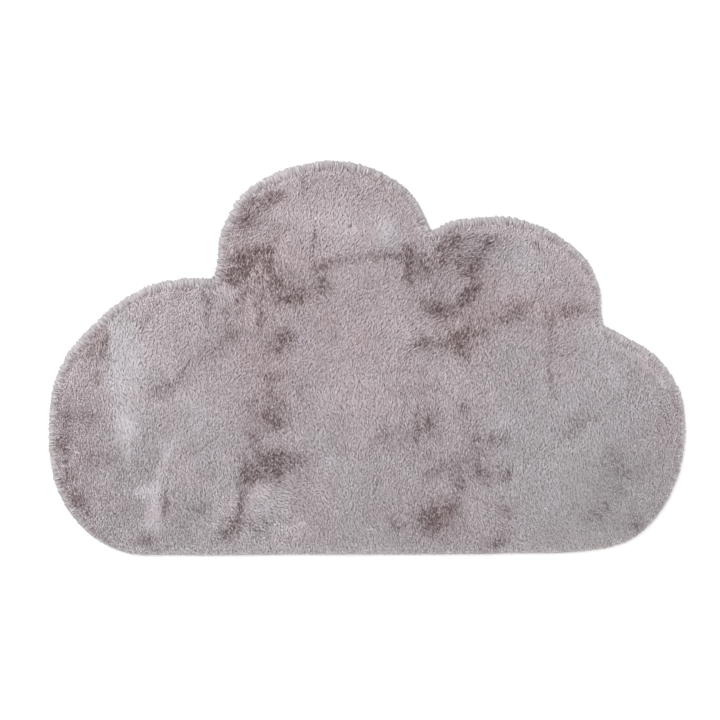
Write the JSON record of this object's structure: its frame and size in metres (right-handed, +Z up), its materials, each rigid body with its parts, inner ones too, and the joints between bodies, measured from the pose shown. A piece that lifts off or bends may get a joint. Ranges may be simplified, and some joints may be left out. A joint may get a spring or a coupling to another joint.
{
  "type": "cloud shaped faux fur floor rug",
  "caption": "Flat floor rug of short plush faux fur, cut in the outline of a cloud with round lobes above a straight base and a feathered rim.",
  "frame": {"origin": "on the floor, under the middle of the rug's box", "axes": "+X along the nearly straight base, +Y from the base towards the round upper lobes, +Z up out of the pile"},
  "size_m": [1.2974, 0.8052, 0.0268],
  "materials": {
    "faux_fur": "soft matt plush of fine fibres, light mauve grey at the tips and brown at the roots",
    "knitted_ground": "matt warp knitted ground with a thin backing coat"
  },
  "bodies": {
    "root": {"fur_rug": "faux_fur"}
  },
  "joints": []
}
